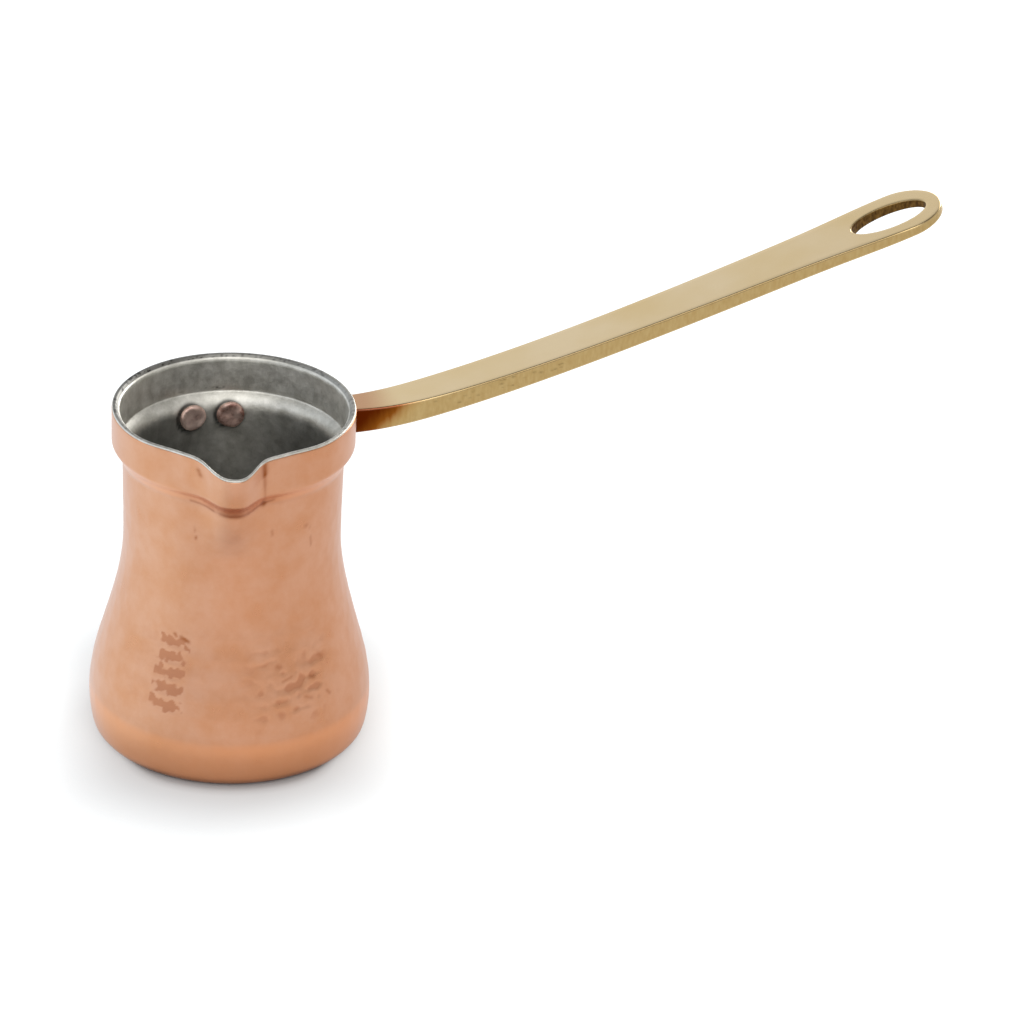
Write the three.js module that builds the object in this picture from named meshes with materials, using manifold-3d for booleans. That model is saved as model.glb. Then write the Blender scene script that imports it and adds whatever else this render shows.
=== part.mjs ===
// A small copper coffee pot with a tinned inside, a drawn spout and a long cast brass handle.
// Millimetres, +Z up. The origin is the centre of the underside. The spout faces -Y, the handle +X.
import * as THREE from "three";
import { mergeVertices } from "three/addons/utils/BufferGeometryUtils.js";
import Module from "manifold-3d";

// Driving dimensions of the pot
const rimRadius = 31;
const potHeight = 91.7;
const collarHeight = 9.9; // full-width band below the rim
const stepHeight = 3.6; // the collar draws in to the neck over this height
const collarStep = 2.75; // and by this much
const stepEase = 0.65; // how gradually the step bends out and up, as the length of its end tangents
const neckLength = 21.2; // nearly straight part below the step
const neckFlare = 0.25; // the neck widens by this much towards the step
const bellyRadius = 36.1; // just above the rounded corner of the base
const bellyFullness = 1.3; // how far the belly's curve leans out past that radius
const shoulderRadius = 34.4; // where the belly turns into the waist
const shoulderHeight = 24.4;
const shoulderSlope = 0.29; // radius lost per millimetre of height there
const bellyEase = 9; // how gradually the belly bends, as the length of its curve's end tangents
const waistEase = 11.1; // the same for the hollow between belly and neck
const baseCorner = 2.7;
const wall = 1.6;
const tinGap = 0.1; // clearance that keeps the two metal layers apart as solids
const tinThickness = 0.3;
const stepShift = 0.25; // how much higher the step lies on the inside, per millimetre of inset
const rimBevel = 0.7;

// Driving dimensions of the spout
const spoutReach = 7.3; // how far the lip stands out from the round rim
const spoutReachAtStep = 4.6; // the same at the collar's lower edge
const spoutDip = 1.8; // how far the lip sinks
const spoutDipAtStep = 1; // how far the collar's lower edge sinks
const spoutHalfWidth = 10.4; // degrees, where the spout is at half its reach
const spoutSharpness = 2.4;
const throatLength = 13; // the neck swells towards the spout over this height below the step
const pinchDepth = 1; // the rim is drawn in on both sides of the spout
const pinchAzimuth = 33;
const pinchWidth = 12;

// Driving dimensions of the handle
const footClearance = 0.3;
const footThickness = 3.2;
const footHeight = 8.4;
const footRise = 0.75; // the foot's top stands above the step's lower end by this much
const footEndRadius = 4.2;
const rivetLift = 1.55; // the rivets lie a little above the foot's centre line
const rivetAzimuths = { left: -24, right: -1.1 }; // degrees from straight back, towards +X
const rivetToFootEnd = 6;
const leavingAzimuth = 13.8; // where the bar leaves the neck's curve
const sweepAngle = 13; // final heading of the bar, from +X towards +Y
const sweepLength = 47;
const riseAngle = 20; // final slope of the bar
const riseLength = 46; // the slope comes within about this length
const barLength = 192.7; // along the bar, from where it leaves the neck to the tip
const barGain = 9; // the upright foot spreads by this much into a flat bar
const barGainLength = 23.5; // most of the spread happens within this length
const barGainSharpness = 1.5;
const paddleGain = 3.8; // further spread at paddleMeasure, growing with the square of the distance
const paddleMeasure = 135;
const rootThickness = 6.3; // thickness of the flat bar, extrapolated to its root
const thinning = 0.018; // lost per millimetre of length
const tipThinning = 0.6; // further loss at the tip
const tipThinningSharpness = 12; // how late that loss comes
const rootExtraHeight = 29.3; // length over which the foot's height fades into the bar's thickness
const edgeRadius = 0.6;
const thinnestEnd = 0.6; // width or height left where an end is rounded off
const eyeToTip = 14.9; // from the eye's centre to the tip
const eyeOffset = 0.4; // the eye lies off the middle, towards the spout's side, by this much
const eyeHalfLength = 10.6;
const eyeHalfWidth = 5.6;
const eyeSwell = 2.1; // the bar is wider by this much round the eye
const eyeSwellLength = 16;
const tipLength = 11.4;

// Driving dimensions of the rivets
const shankRadius = 1.5;
const rivetHoleClearance = 0.3;
const headRadius = 3.6;
const headThickness = 1.2;
const headEdge = 0.35;
const headSeatGap = 0.25;
const peenedRadius = 2.7;
const peenedHeight = 1.5;

// Facet counts
const spoutSector = 30; // degrees each side of the spout that get fine steps
const fineSteps = 18;
const coarseSteps = 32;
const outlinePieces = [3, 4, 5, 1, 4, 2, 2, 2]; // corner, belly, waist, neck, throat, step, step, collar
const handlePieces = { footEnd: 6, foot: 10, sweep: 14, bar: 18, eye: 5, tip: 9 };
const rivetSegments = 16;
const profileSteps = 4;
const eyeSegments = 28;
const cornerSteps = 3;

// What follows from those sizes
const neckTopRadius = rimRadius - collarStep;
const neckRadius = neckTopRadius - neckFlare;
const collarFoot = potHeight - collarHeight;
const neckTop = collarFoot - stepHeight;
const waistHeight = neckTop - neckLength;
const throatStart = neckTop - throatLength;
const eyeCentre = barLength - eyeToTip;

// The foot's rounded top edge lies in the hollow under the step.
const footLevel = neckTop + footRise - footHeight / 2;
const rivetLevel = footLevel + rivetLift;
const footRadius = neckTopRadius + footClearance + footThickness / 2;

const radians = THREE.MathUtils.degToRad;
const smooth = (t) => THREE.MathUtils.smoothstep(t, 0, 1);
const wasm = await Module();
wasm.setup();

const finishes = {
  copper: new THREE.MeshStandardMaterial({ color: 0xd09a78, metalness: 1, roughness: 0.38 }),
  tin: new THREE.MeshStandardMaterial({ color: 0x8f8f8a, metalness: 1, roughness: 0.5 }),
  brass: new THREE.MeshStandardMaterial({ color: 0xd2b57e, metalness: 1, roughness: 0.22 }),
  rivetCopper: new THREE.MeshStandardMaterial({ color: 0x8a6458, metalness: 1, roughness: 0.45 }),
};

// The manifold solid of a three.js geometry, for cutting.
function toSolid(geometry) {
  const bare = geometry.clone();
  bare.deleteAttribute("normal");
  bare.deleteAttribute("uv");
  const merged = mergeVertices(bare, 1e-4);
  const mesh = new wasm.Mesh({
    numProp: 3,
    vertProperties: new Float32Array(merged.attributes.position.array),
    triVerts: new Uint32Array(merged.index.array),
  });
  return new wasm.Manifold(mesh);
}

// The three.js geometry of a manifold solid.
function toGeometry(solid) {
  const { vertProperties, triVerts } = solid.getMesh();
  const geometry = new THREE.BufferGeometry();
  geometry.setAttribute("position", new THREE.BufferAttribute(vertProperties, 3));
  geometry.setIndex(new THREE.BufferAttribute(triVerts, 1));
  const faceted = geometry.toNonIndexed();
  faceted.computeVertexNormals();
  return faceted;
}

// A closed surface from rings of equal length, with a fan to a centre point at each end.
// Each four-sided patch is split along its shorter diagonal, so that nested shells split alike.
function closedLoft(rings, firstCentre, lastCentre) {
  const ringSize = rings[0].length;
  const vertices = rings.flat();
  const first = vertices.push(firstCentre) - 1;
  const last = vertices.push(lastCentre) - 1;
  const indices = [];
  for (let ring = 0; ring + 1 < rings.length; ring++) {
    for (let i = 0; i < ringSize; i++) {
      const a = ring * ringSize + i;
      const b = ring * ringSize + ((i + 1) % ringSize);
      const c = b + ringSize;
      const d = a + ringSize;
      const acrossFirst = vertices[a].distanceTo(vertices[c]) < vertices[b].distanceTo(vertices[d]);
      indices.push(...(acrossFirst ? [a, b, c, a, c, d] : [a, b, d, b, c, d]));
    }
  }
  const lastRing = (rings.length - 1) * ringSize;
  for (let i = 0; i < ringSize; i++) {
    const next = (i + 1) % ringSize;
    indices.push(first, next, i, last, lastRing + i, lastRing + next);
  }
  const geometry = new THREE.BufferGeometry().setFromPoints(vertices);
  geometry.setIndex(indices);
  return geometry;
}

// How much of the spout's shape an azimuth has: 1 on its centre line, 0 away from it.
const spoutShare = (azimuth) =>
  Math.exp(-Math.LN2 * Math.pow(Math.abs(azimuth) / spoutHalfWidth, spoutSharpness));

// How much of the rim's inward pinch beside the spout an azimuth has.
const pinchShare = (azimuth) => {
  const away = (Math.abs(azimuth) - pinchAzimuth) / pinchWidth;
  return Math.exp(-away * away);
};

// The point of the pot at a radius, height and azimuth, drawn out where the spout is.
function potPoint(radius, height, azimuth) {
  const throat = smooth((height - throatStart) / throatLength);
  const collar = smooth((height - neckTop) / (potHeight - neckTop));
  const reach = throat * spoutReachAtStep + collar * (spoutReach - spoutReachAtStep);
  const dip = throat * spoutDipAtStep + collar * (spoutDip - spoutDipAtStep);
  const share = spoutShare(azimuth);
  const drawn = radius + reach * share - collar * pinchDepth * pinchShare(azimuth);
  const turn = radians(azimuth);
  return new THREE.Vector3(
    drawn * Math.sin(turn),
    -drawn * Math.cos(turn),
    height - dip * share,
  );
}

// Azimuths round the pot, in fine steps at the spout and coarse ones elsewhere.
function potAzimuths() {
  const azimuths = [];
  for (let i = 0; i < fineSteps; i++) {
    azimuths.push(-spoutSector + (2 * spoutSector * i) / fineSteps);
  }
  const rest = 360 - 2 * spoutSector;
  for (let i = 0; i < coarseSteps; i++) {
    const azimuth = spoutSector + (rest * i) / coarseSteps;
    azimuths.push(azimuth > 180 ? azimuth - 360 : azimuth);
  }
  return azimuths;
}

// The pot's side from its base to the collar's top, drawn in by an inset on every side.
function sideOutline(inset, topHeight) {
  const base = bellyRadius - inset;
  const shoulder = shoulderRadius - inset;
  const waist = neckRadius - inset;
  const throat = neckTopRadius - inset;
  const rim = rimRadius - inset;
  const stepTop = collarFoot + inset * stepShift;
  const stepBottom = neckTop + inset * stepShift;
  const stepMiddle = [(throat + rim) / 2, (stepBottom + stepTop) / 2];
  const outline = new THREE.Path();
  outline.moveTo(base - baseCorner, inset);
  outline.absarc(base - baseCorner, inset + baseCorner, baseCorner, -Math.PI / 2, 0, false);
  outline.bezierCurveTo(
    base + bellyFullness, bellyEase,
    shoulder + shoulderSlope * bellyEase, shoulderHeight - bellyEase,
    shoulder, shoulderHeight,
  );
  outline.bezierCurveTo(
    shoulder - shoulderSlope * waistEase, shoulderHeight + waistEase,
    waist, waistHeight - waistEase,
    waist, waistHeight,
  );
  outline.lineTo(waist, throatStart);
  outline.lineTo(throat, stepBottom);
  outline.quadraticCurveTo(throat, stepBottom + stepEase, ...stepMiddle);
  outline.quadraticCurveTo(rim, stepTop - stepEase, rim, stepTop);
  outline.lineTo(rim, topHeight);
  const points = [outline.curves[0].getPoint(0)];
  outline.curves.forEach((curve, i) => {
    const pieces = outlinePieces[i];
    for (let k = 1; k <= pieces; k++) points.push(curve.getPoint(k / pieces));
  });
  return points;
}

// A shell from an outline that starts and ends on the axis.
function shell(outline, bottom, top) {
  const azimuths = potAzimuths();
  const rings = outline.map((point) =>
    azimuths.map((azimuth) => potPoint(point.x, point.y, azimuth)),
  );
  return closedLoft(rings, new THREE.Vector3(0, 0, bottom), new THREE.Vector3(0, 0, top));
}

// Spun copper body: base, belly, neck, collar and the top edge under the tin.
function potBody() {
  const top = potHeight - tinThickness - tinGap;
  const outside = sideOutline(0, top - headEdge);
  const inside = sideOutline(wall, top - rimBevel).reverse();
  const edge = [
    new THREE.Vector2(rimRadius - headEdge, top),
    new THREE.Vector2(rimRadius - wall + rimBevel, top),
  ];
  return shell([...outside, ...edge, ...inside], 0, wall);
}

// Wiped tin: the whole inside and the top of the rim.
function tinLining() {
  const contact = wall + tinGap;
  const face = contact + tinThickness;
  const copperTop = potHeight - tinThickness - tinGap;
  const contactTop = potHeight - tinThickness;
  const slant = tinGap * Math.tan(Math.PI / 8); // keeps the gap even round the rim's bevel
  const back = sideOutline(contact, copperTop - rimBevel + slant);
  const rimOuter = rimRadius - headEdge;
  const bevelled = rimRadius - face + rimBevel + tinThickness;
  const over = [
    new THREE.Vector2(rimRadius - wall + rimBevel - slant, contactTop),
    new THREE.Vector2(rimOuter, contactTop),
    new THREE.Vector2(rimOuter, potHeight - tinThickness / 3),
    new THREE.Vector2(rimOuter - tinThickness / 3, potHeight),
    new THREE.Vector2(bevelled, potHeight),
  ];
  const bevelFoot = potHeight - (bevelled - (rimRadius - face));
  const front = sideOutline(face, bevelFoot).reverse();
  return shell([...back, ...over, ...front], contact, face);
}

// Where the rivets and the foot's end lie as distances along the handle's spine.
const rivetDistance = (side) => radians(rivetAzimuths[side] - leavingAzimuth) * footRadius;
const footEnd = rivetDistance("left") - rivetToFootEnd;

// The handle's spine: place and directions at any distance along it, negative on the foot.
function handleSpine() {
  const leaving = radians(leavingAzimuth);
  const frameAt = (distance, position) => {
    const onFoot = distance < 0;
    const turn = smooth(distance / sweepLength) * (radians(sweepAngle) + leaving);
    const heading = onFoot ? -leaving - distance / footRadius : turn - leaving;
    const bend = onFoot ? 0 : 1 - Math.exp(-distance / riseLength);
    const rise = radians(riseAngle) * bend;
    const along = new THREE.Vector3(
      Math.cos(heading) * Math.cos(rise),
      Math.sin(heading) * Math.cos(rise),
      Math.sin(rise),
    );
    const across = new THREE.Vector3(-Math.sin(heading), Math.cos(heading), 0);
    const upward = new THREE.Vector3().crossVectors(along, across);
    return { distance, position, along, across, upward };
  };
  const footPosition = (distance) => {
    const azimuth = leaving + distance / footRadius;
    return new THREE.Vector3(
      footRadius * Math.sin(azimuth),
      footRadius * Math.cos(azimuth),
      footLevel,
    );
  };
  const step = 0.5; // millimetres walked along the spine at a time
  const walked = [frameAt(0, footPosition(0))];
  while (walked.length * step <= barLength + step) {
    const before = walked[walked.length - 1];
    const middle = frameAt(before.distance + step / 2, before.position);
    const position = before.position.clone().addScaledVector(middle.along, step);
    walked.push(frameAt(before.distance + step, position));
  }
  return (distance) => {
    if (distance < 0) return frameAt(distance, footPosition(distance));
    const index = Math.min(Math.floor(distance / step), walked.length - 2);
    const share = distance / step - index;
    const position = walked[index].position.clone().lerp(walked[index + 1].position, share);
    return frameAt(distance, position);
  };
}

// Share of the full size near a rounded end: 0 at the end, 1 from the given length inwards.
const roundedEnd = (fromEnd, length) => {
  const inward = 1 - Math.min(fromEnd / length, 1);
  return Math.sqrt(Math.max(1 - inward * inward, 0));
};

function handleWidth(distance) {
  const along = Math.max(distance, 0);
  const spread = barGain * (1 - Math.exp(-Math.pow(along / barGainLength, barGainSharpness)));
  const paddle = paddleGain * (along / paddleMeasure) ** 2;
  const eye = eyeSwell * Math.exp(-(((along - eyeCentre) / eyeSwellLength) ** 2));
  const tip = roundedEnd(barLength - distance, tipLength);
  return (footThickness + spread + paddle + eye) * tip;
}

function handleHeight(distance) {
  const along = Math.max(distance, 0);
  const tip = tipThinning * (along / barLength) ** tipThinningSharpness;
  const bar = rootThickness - thinning * along - tip;
  const foot = (footHeight - rootThickness) * Math.exp(-((along / rootExtraHeight) ** 2));
  return (bar + foot) * roundedEnd(distance - footEnd, footEndRadius);
}

// A rounded rectangle across the spine.
function handleSection({ distance, position, across, upward }) {
  const halfWidth = Math.max(handleWidth(distance), thinnestEnd) / 2;
  const halfHeight = Math.max(handleHeight(distance), thinnestEnd) / 2;
  const largestCorner = 0.8 * Math.min(halfWidth, halfHeight);
  const corner = Math.min(edgeRadius, largestCorner);
  const ring = [];
  for (let quarter = 0; quarter < 4; quarter++) {
    const sideways = quarter === 0 || quarter === 3 ? 1 : -1;
    const upwards = quarter < 2 ? 1 : -1;
    for (let i = 0; i <= cornerSteps; i++) {
      const turn = (Math.PI / 2) * (quarter + i / cornerSteps);
      const y = sideways * (halfWidth - corner) + corner * Math.cos(turn);
      const z = upwards * (halfHeight - corner) + corner * Math.sin(turn);
      ring.push(position.clone().addScaledVector(across, y).addScaledVector(upward, z));
    }
  }
  return ring;
}

// Distances from the foot's end to the tip, closer together where the outline turns.
function handleStations() {
  const stations = [];
  const quarter = (count, place) => {
    for (let i = 0; i < count; i++) stations.push(place((Math.PI / 2) * (i / count)));
  };
  const evenly = (from, to, count) => {
    for (let i = 0; i < count; i++) stations.push(from + ((to - from) * i) / count);
  };
  quarter(handlePieces.footEnd, (turn) => footEnd + footEndRadius * (1 - Math.cos(turn)));
  evenly(footEnd + footEndRadius, 0, handlePieces.foot);
  evenly(0, sweepLength, handlePieces.sweep);
  evenly(sweepLength, eyeCentre - eyeSwellLength, handlePieces.bar);
  evenly(eyeCentre - eyeSwellLength, barLength - tipLength, handlePieces.eye);
  quarter(handlePieces.tip, (turn) => barLength - tipLength + tipLength * Math.sin(turn));
  stations.push(barLength);
  return stations;
}

// Cutting tool for a rivet hole: a cylinder along the radius at a rivet's azimuth.
function rivetHole(side) {
  const holeRadius = shankRadius + rivetHoleClearance;
  const length = 3 * (footThickness + wall); // well past both faces
  const hole = new THREE.CylinderGeometry(holeRadius, holeRadius, length, rivetSegments);
  hole.translate(0, neckTopRadius, 0);
  return toSolid(hole.applyMatrix4(rivetPlace(side)));
}

// Turns +Y into the outward radius at a rivet and lifts it to the rivets' level.
function rivetPlace(side) {
  const place = new THREE.Matrix4().makeRotationZ(-radians(rivetAzimuths[side]));
  return place.setPosition(0, 0, rivetLevel);
}

// Cast brass handle: curved foot, tapering bar and paddle end with its hanging eye.
function handle() {
  const spine = handleSpine();
  const stations = handleStations();
  const rings = stations.map((distance) => handleSection(spine(distance)));
  const bar = toSolid(
    closedLoft(rings, spine(stations[0]).position, spine(barLength).position),
  );
  const eye = spine(eyeCentre);
  const outline = new THREE.Shape().absellipse(
    0, -eyeOffset,
    eyeHalfLength, eyeHalfWidth,
    0, 2 * Math.PI,
  );
  const depth = 4 * handleHeight(eyeCentre); // well past both faces
  const cutter = new THREE.ExtrudeGeometry(outline, {
    depth,
    bevelEnabled: false,
    curveSegments: eyeSegments,
  });
  cutter.translate(0, 0, -depth / 2);
  cutter.applyMatrix4(
    new THREE.Matrix4().makeBasis(eye.along, eye.across, eye.upward).setPosition(eye.position),
  );
  return bar
    .subtract(toSolid(cutter))
    .subtract(rivetHole("left"))
    .subtract(rivetHole("right"));
}

// Copper rivet: flat head on the tin inside, shank, and a peened dome on the handle's foot.
function rivet(side) {
  const tinFace = neckTopRadius - wall - tinGap - tinThickness;
  const headSeat = Math.sqrt(tinFace ** 2 - headRadius ** 2) - headSeatGap;
  const footFace = neckTopRadius + footClearance + footThickness + headSeatGap;
  const profile = new THREE.Path();
  profile.moveTo(0, headSeat - headThickness);
  profile.lineTo(headRadius - 3 * headEdge, headSeat - headThickness);
  profile.quadraticCurveTo(headRadius, headSeat - headThickness, headRadius, headSeat - headEdge);
  profile.lineTo(headRadius - headEdge / 2, headSeat);
  profile.lineTo(shankRadius, headSeat);
  profile.lineTo(shankRadius, footFace);
  profile.lineTo(peenedRadius, footFace);
  profile.quadraticCurveTo(
    peenedRadius, footFace + peenedHeight,
    0, footFace + peenedHeight,
  );
  const body = new THREE.LatheGeometry(profile.getPoints(profileSteps), rivetSegments);
  return toSolid(body.applyMatrix4(rivetPlace(side)));
}

// One named mesh of the pot.
function piece(name, solid, finish) {
  const mesh = new THREE.Mesh(toGeometry(solid), finishes[finish]);
  mesh.name = name;
  return mesh;
}

const drilled = (solid) => solid.subtract(rivetHole("left")).subtract(rivetHole("right"));

const pot = new THREE.Group();
pot.name = "coffee_pot";
pot.add(piece("pot_body", drilled(toSolid(potBody())), "copper"));
pot.add(piece("tin_lining", drilled(toSolid(tinLining())), "tin"));
pot.add(piece("handle", handle(), "brass"));
pot.add(piece("rivet_left", rivet("left"), "rivetCopper"));
pot.add(piece("rivet_right", rivet("right"), "rivetCopper"));

export default pot;
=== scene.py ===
import math
from functools import partial

import bmesh
import bpy
import numpy as np
from mathutils import Matrix, Vector


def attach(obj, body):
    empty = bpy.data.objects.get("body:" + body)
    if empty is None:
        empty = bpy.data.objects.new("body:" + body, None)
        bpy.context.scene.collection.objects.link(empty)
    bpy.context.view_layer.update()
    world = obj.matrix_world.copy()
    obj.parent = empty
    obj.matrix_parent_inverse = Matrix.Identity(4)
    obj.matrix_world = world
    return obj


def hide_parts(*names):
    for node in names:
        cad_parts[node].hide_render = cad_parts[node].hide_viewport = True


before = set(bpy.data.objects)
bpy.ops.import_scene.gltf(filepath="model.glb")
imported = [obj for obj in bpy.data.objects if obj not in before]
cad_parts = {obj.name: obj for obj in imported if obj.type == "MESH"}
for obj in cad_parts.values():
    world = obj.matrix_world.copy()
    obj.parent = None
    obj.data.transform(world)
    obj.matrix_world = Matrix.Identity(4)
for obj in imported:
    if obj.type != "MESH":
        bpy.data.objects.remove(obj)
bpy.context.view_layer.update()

# Sizes of the pot, in millimetres as the maker gives them
MM = 0.001
RIM_RADIUS = 31.0
POT_HEIGHT = 91.7
COLLAR_HEIGHT = 9.9
STEP_HEIGHT = 3.6
COLLAR_STEP = 2.75
STEP_EASE = 0.5
STEP_SPREAD_DOWN = 1.2
STEP_SPREAD_UP = 0.5
INNER_BEND_LENGTH = 3.0
INNER_LEDGE_RISE = 1.9
INNER_LEDGE_DROP = 0.9
INNER_CORNER = 0.2
INNER_CORNER_DROP = 0.14
NECK_LENGTH = 21.2
NECK_FLARE = 0.25
BELLY_RADIUS = 36.1
BELLY_FULLNESS = 1.3
SHOULDER_RADIUS = 34.4
SHOULDER_HEIGHT = 24.4
SHOULDER_SLOPE = 0.29
BELLY_EASE = 9.0
WAIST_EASE = 11.1
BASE_CORNER = 2.7
WALL = 1.6
TIN_GAP = 0.1
TIN_THICKNESS = 0.3
STEP_SHIFT = 0.25
RIM_BEVEL = 0.7
RIM_EDGE = 0.35

# Sizes of the spout
SPOUT_REACH = 7.3
SPOUT_REACH_AT_STEP = 4.2
SPOUT_DIP = 1.8
SPOUT_DIP_AT_STEP = 1.0
SPOUT_HALF_WIDTH_LEFT = 10.4
SPOUT_HALF_WIDTH_RIGHT = 8.2
SPOUT_SHARPNESS = 2.4
THROAT_LENGTH = 16.0
PINCH_DEPTH = 1.0
PINCH_AZIMUTH_LEFT = 33.0
PINCH_AZIMUTH_RIGHT = 29.5
PINCH_WIDTH = 12.0

# Sizes of the handle
FOOT_CLEARANCE = 0.3
FOOT_THICKNESS = 3.2
FOOT_HEIGHT = 8.4
FOOT_RISE = 0.75
FOOT_END_RADIUS = 4.2
RIVET_LIFT = 1.55
RIVET_AZIMUTHS = {"left": -24.0, "right": -1.1}
RIVET_TO_FOOT_END = 6.0
LEAVING_AZIMUTH = 13.8
SWEEP_ANGLE = 13.0
SWEEP_LENGTH = 47.0
RISE_ANGLE = 20.0
RISE_LENGTH = 46.0
BAR_LENGTH = 192.7
BAR_GAIN = 9.0
BAR_GAIN_LENGTH = 23.5
BAR_GAIN_SHARPNESS = 1.5
PADDLE_GAIN = 3.8
PADDLE_MEASURE = 135.0
ROOT_THICKNESS = 6.3
THINNING = 0.018
TIP_THINNING = 0.6
TIP_THINNING_SHARPNESS = 12
ROOT_EXTRA_HEIGHT = 29.3
HANDLE_EDGE = 0.5
EYE_TO_TIP = 14.9
EYE_OFFSET = 0.4
EYE_HALF_LENGTH = 10.6
EYE_HALF_WIDTH = 5.6
EYE_EDGE = 0.45
EYE_SWELL = 2.1
EYE_SWELL_LENGTH = 16.0
TIP_LENGTH = 11.4

# Sizes of the rivets
SHANK_RADIUS = 1.5
HEAD_RADIUS = 3.6
HEAD_THICKNESS = 1.2
HEAD_EDGE = 0.35
HEAD_SEAT_GAP = 0.25
PEENED_RADIUS = 2.7
PEENED_HEIGHT = 1.5

# What follows from those sizes
NECK_TOP_RADIUS = RIM_RADIUS - COLLAR_STEP
NECK_RADIUS = NECK_TOP_RADIUS - NECK_FLARE
COLLAR_FOOT = POT_HEIGHT - COLLAR_HEIGHT
NECK_TOP = COLLAR_FOOT - STEP_HEIGHT
WAIST_HEIGHT = NECK_TOP - NECK_LENGTH
THROAT_START = NECK_TOP - THROAT_LENGTH
FOOT_LEVEL = NECK_TOP + FOOT_RISE - FOOT_HEIGHT / 2
RIVET_LEVEL = FOOT_LEVEL + RIVET_LIFT
FOOT_RADIUS = NECK_TOP_RADIUS + FOOT_CLEARANCE + FOOT_THICKNESS / 2
FOOT_END = math.radians(RIVET_AZIMUTHS["left"] - LEAVING_AZIMUTH) * FOOT_RADIUS - RIVET_TO_FOOT_END
EYE_CENTRE = BAR_LENGTH - EYE_TO_TIP
COPPER_TOP = POT_HEIGHT - TIN_THICKNESS - TIN_GAP


# Helpers for shapes
def smooth(t):
    """The S curve 3t^2 - 2t^3 between 0 and 1."""
    t = np.clip(t, 0.0, 1.0)
    return t * t * (3.0 - 2.0 * t)


def waves(points, size, seed, count=14):
    """Smooth noise of about -1 to 1: a sum of sines of about one wavelength in seeded random directions."""
    draw = np.random.default_rng(seed)
    directions = draw.normal(size=(count, 3))
    directions /= np.linalg.norm(directions, axis=1, keepdims=True)
    stretch = draw.uniform(0.7, 1.4, count)[:, None]
    phases = draw.uniform(0.0, 2.0 * math.pi, count)
    turns = points @ (directions * stretch * (2.0 * math.pi / size)).T + phases
    return np.sin(turns).sum(-1) / math.sqrt(count)


def bezier(controls, count):
    """Points on a Bezier curve of any degree, by its Bernstein weights, without the first point."""
    t = np.arange(1, count + 1) / count
    degree = len(controls) - 1
    curve = np.zeros((count, 2))
    for k, control in enumerate(controls):
        weight = math.comb(degree, k) * t**k * (1.0 - t) ** (degree - k)
        curve += weight[:, None] * np.asarray(control, float)
    return curve


def arc(centre, radius, start, end, count):
    """Points on an arc round a centre, from one angle to another."""
    turn = np.linspace(start, end, count)
    return np.stack([centre[0] + radius * np.cos(turn), centre[1] + radius * np.sin(turn)], 1)


def grid_faces(rows, columns, start=0):
    """The four-sided faces of a grid of rows by columns, joined round in each row."""
    row, column = np.meshgrid(np.arange(rows - 1), np.arange(columns), indexing="ij")
    after = (column + 1) % columns
    a = start + row * columns + column
    b = start + row * columns + after
    return np.stack([a, b, b + columns, a + columns], -1).reshape(-1, 4)


def make_piece(name, points, faces, slot, node, material, attributes):
    """A finished piece: a smooth-shaded mesh from points in millimetres and lists of faces."""
    mesh = bpy.data.meshes.new(name)
    mesh.from_pydata((points * MM).tolist(), [], [f for group in faces for f in group.tolist()])
    mesh.polygons.foreach_set("use_smooth", np.ones(len(mesh.polygons), bool))
    for label, values in attributes.items():
        layer = mesh.attributes.new(label, "FLOAT", "POINT")
        layer.data.foreach_set("value", np.asarray(values, np.float32).ravel())
    mesh.materials.append(material)
    mesh.validate()
    piece = bpy.data.objects.new(name, mesh)
    bpy.context.scene.collection.objects.link(piece)
    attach(piece, "root")
    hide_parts(node)
    return piece


# The pot's shape
def side_outline(inset, top_height):
    """The pot's side from base to top as radius and height: an arc, Bezier curves and lines.

    The outside has a soft step under the collar, and the inside a sloping ledge with a crisp corner."""
    base = BELLY_RADIUS - inset
    shoulder = SHOULDER_RADIUS - inset
    waist = NECK_RADIUS - inset
    throat = NECK_TOP_RADIUS - inset
    rim = RIM_RADIUS - inset
    step_top = COLLAR_FOOT + inset * STEP_SHIFT
    step_bottom = NECK_TOP + inset * STEP_SHIFT
    step_middle = ((throat + rim) / 2, (step_bottom + step_top) / 2)
    corner = arc((base - BASE_CORNER, inset + BASE_CORNER), BASE_CORNER, -math.pi / 2, 0.0, 13)
    belly = bezier(
        [
            (base, inset + BASE_CORNER),
            (base + BELLY_FULLNESS, BELLY_EASE),
            (shoulder + SHOULDER_SLOPE * BELLY_EASE, SHOULDER_HEIGHT - BELLY_EASE),
            (shoulder, SHOULDER_HEIGHT),
        ],
        60,
    )
    hollow = bezier(
        [
            (shoulder, SHOULDER_HEIGHT),
            (shoulder - SHOULDER_SLOPE * WAIST_EASE, SHOULDER_HEIGHT + WAIST_EASE),
            (waist, WAIST_HEIGHT - WAIST_EASE),
            (waist, WAIST_HEIGHT),
        ],
        80,
    )
    neck = bezier([(waist, WAIST_HEIGHT), (waist, THROAT_START)], 20)
    if inset < WALL:
        step_top += STEP_SPREAD_UP
        bend_start = step_bottom - STEP_SPREAD_DOWN
        step_out = bezier([(throat, bend_start), (throat, bend_start + STEP_EASE), step_middle], 12)
        step_up = bezier([step_middle, (rim, step_top - STEP_EASE), (rim, step_top)], 12)
    else:
        step_top -= INNER_LEDGE_DROP
        bend = step_top - INNER_LEDGE_RISE
        bend_start = bend - INNER_BEND_LENGTH
        ledge_end = (rim - INNER_CORNER, step_top - INNER_CORNER_DROP)
        step_out = bezier([(throat, bend_start), (throat, bend), ledge_end], 24)
        step_up = bezier([ledge_end, (rim, step_top), (rim, step_top + INNER_CORNER)], 4)
        step_top += INNER_CORNER
    flare = bezier([(waist, THROAT_START), (throat, bend_start)], 20)
    collar = bezier([(rim, step_top), (rim, top_height)], 16)
    return np.concatenate([corner, belly, hollow, neck, flare, step_out, step_up, collar])


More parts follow.
